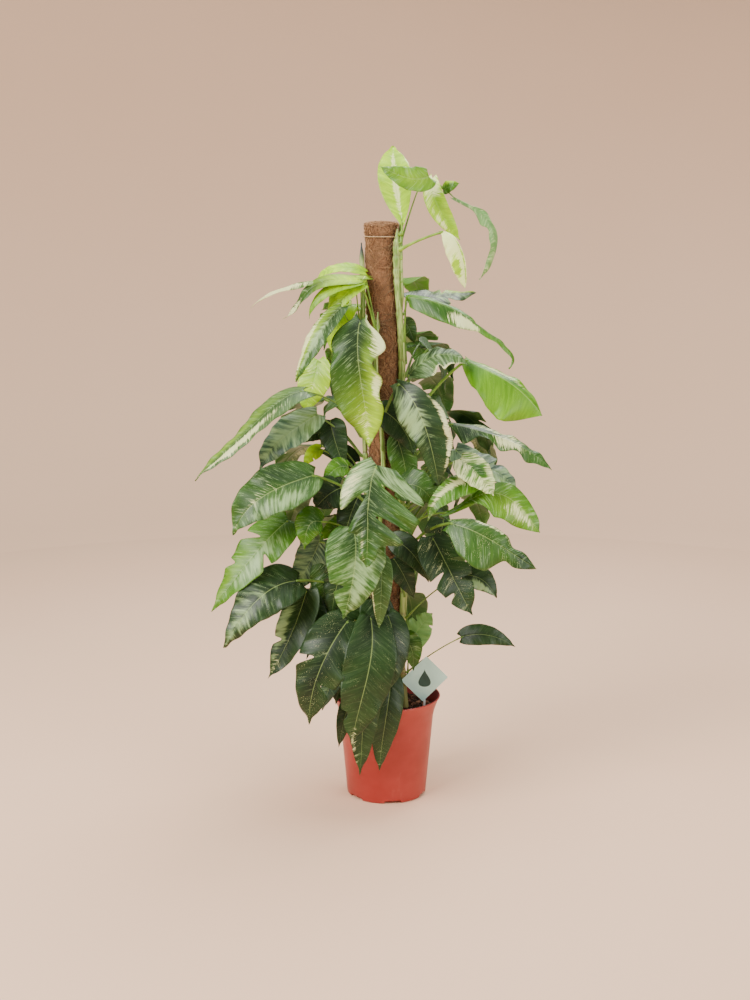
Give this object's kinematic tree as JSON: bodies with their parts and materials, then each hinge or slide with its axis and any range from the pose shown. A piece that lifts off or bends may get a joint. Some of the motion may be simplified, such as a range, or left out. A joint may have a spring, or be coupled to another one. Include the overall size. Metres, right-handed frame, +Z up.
{
  "type": "potted climbing house plant",
  "caption": "Tall variegated climbing aroid tied to a coir pole in a tapered plastic nursery pot, with split and oval leaves all round and a square plant label.",
  "frame": {"origin": "centre of the pot's foot, in the plane that the pot stands on", "axes": "+Z up along the plant's height, -Y towards the plant's front, +X to the right of the front view"},
  "size_m": [0.7845, 0.5396, 1.4846],
  "materials": {
    "pot": "smooth, semi-gloss terracotta red",
    "soil": "dark crumbly mix with bark chips",
    "stake": "plain round wood",
    "coir": "coarse matted fibre",
    "twine": "thin twisted twine",
    "vine": "smooth pale green stem",
    "leaf": "satin leaf, green with cream and silver marbling",
    "card": "smooth, pale mint",
    "card_stake": "smooth white"
  },
  "bodies": {
    "root": {"pot": "pot", "soil": "soil", "pole_stake": "stake", "coir_sleeve": "coir", "top_binding": "twine", "vine_front": "vine", "vine_right": "vine", "vine_left": "vine", "vine_back": "vine", "leaf_01": "leaf", "leaf_02": "leaf", "leaf_03": "leaf", "leaf_04": "leaf", "leaf_05": "leaf", "leaf_06": "leaf", "leaf_07": "leaf", "leaf_08": "leaf", "leaf_09": "leaf", "leaf_10": "leaf", "leaf_11": "leaf", "leaf_12": "leaf", "leaf_13": "leaf", "leaf_14": "leaf", "leaf_15": "leaf", "leaf_16": "leaf", "leaf_17": "leaf", "leaf_18": "leaf", "leaf_19": "leaf", "leaf_20": "leaf", "leaf_21": "leaf", "leaf_22": "leaf", "leaf_23": "leaf", "leaf_24": "leaf", "leaf_25": "leaf", "leaf_26": "leaf", "leaf_27": "leaf", "leaf_28": "leaf", "leaf_29": "leaf", "leaf_30": "leaf", "leaf_31": "leaf", "leaf_32": "leaf", "leaf_33": "leaf", "leaf_34": "leaf", "leaf_35": "leaf", "leaf_36": "leaf", "leaf_37": "leaf", "leaf_38": "leaf", "leaf_39": "leaf", "leaf_40": "leaf", "leaf_41": "leaf", "leaf_42": "leaf", "leaf_43": "leaf", "leaf_44": "leaf", "leaf_45": "leaf", "leaf_46": "leaf", "leaf_47": "leaf", "leaf_48": "leaf", "leaf_49": "leaf", "label_card": "card", "label_stake": "card_stake"}
  },
  "joints": []
}
